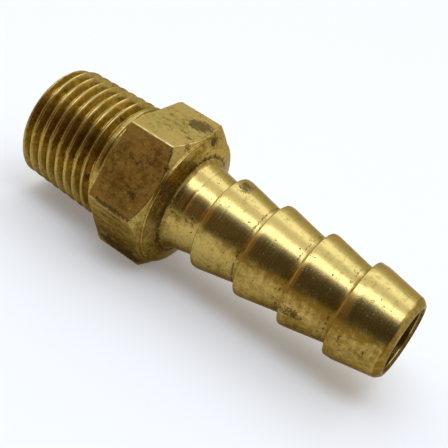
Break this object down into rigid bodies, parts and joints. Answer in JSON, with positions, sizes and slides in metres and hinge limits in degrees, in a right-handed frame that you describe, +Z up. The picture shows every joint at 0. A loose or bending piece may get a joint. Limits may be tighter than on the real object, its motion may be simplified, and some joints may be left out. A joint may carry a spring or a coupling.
{
  "type": "hose barb tail",
  "caption": "Turned brass hose tail: taper pipe thread, spanner hexagon and barbs for a small hose.",
  "frame": {"origin": "on the bore's axis, in the plane of the hexagon's thread-side face", "axes": "+X along the bore towards the barbs, +Z up, square to the hexagon's upper flat"},
  "size_m": [0.0327, 0.0126, 0.011],
  "materials": {
    "brass": "satin turned brass, slightly tarnished"
  },
  "bodies": {
    "root": {"hose_tail": "brass"}
  },
  "joints": []
}
